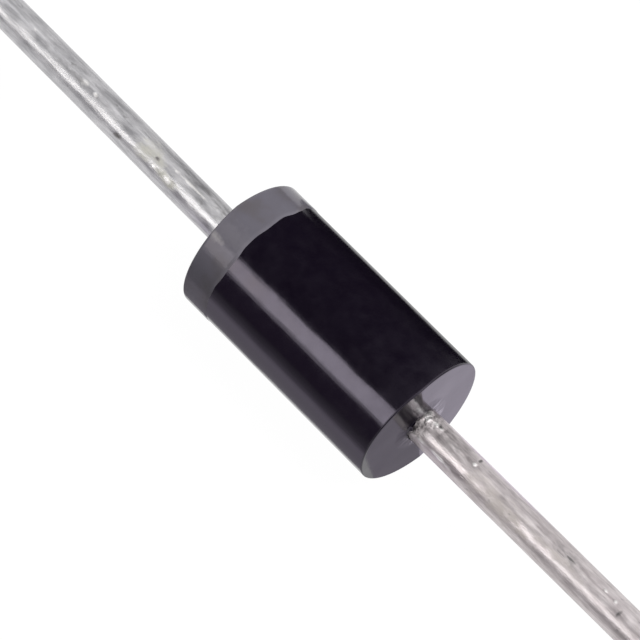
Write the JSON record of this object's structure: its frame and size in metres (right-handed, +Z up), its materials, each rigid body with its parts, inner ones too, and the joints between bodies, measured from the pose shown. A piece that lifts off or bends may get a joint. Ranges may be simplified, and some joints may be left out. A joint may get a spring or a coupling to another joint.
{
  "type": "axial rectifier diode",
  "caption": "Axial-lead rectifier diode: round black moulded body with a grey cathode band at one end and a straight tinned wire lead out of each end.",
  "frame": {"origin": "middle of the moulded body, on the axis of the leads", "axes": "+X along the leads towards the anode, so the banded cathode end is at -X; +Y across the mould's parting plane; +Z up"},
  "size_m": [0.0612, 0.0052, 0.0052],
  "materials": {
    "moulding_epoxy": "glossy black epoxy moulding compound",
    "marking_ink": "satin grey marking ink",
    "tinned_copper": "drawn copper wire with a mottled matte tin plating",
    "silicon": "polished chip",
    "solder": "dull soft solder",
    "silicone": "white junction coating"
  },
  "bodies": {
    "root": {"moulded_body": "moulding_epoxy", "cathode_band": "marking_ink", "cathode_lead": "tinned_copper", "anode_lead": "tinned_copper", "silicon_die": "silicon", "cathode_solder": "solder", "anode_solder": "solder", "junction_coating": "silicone"}
  },
  "joints": []
}
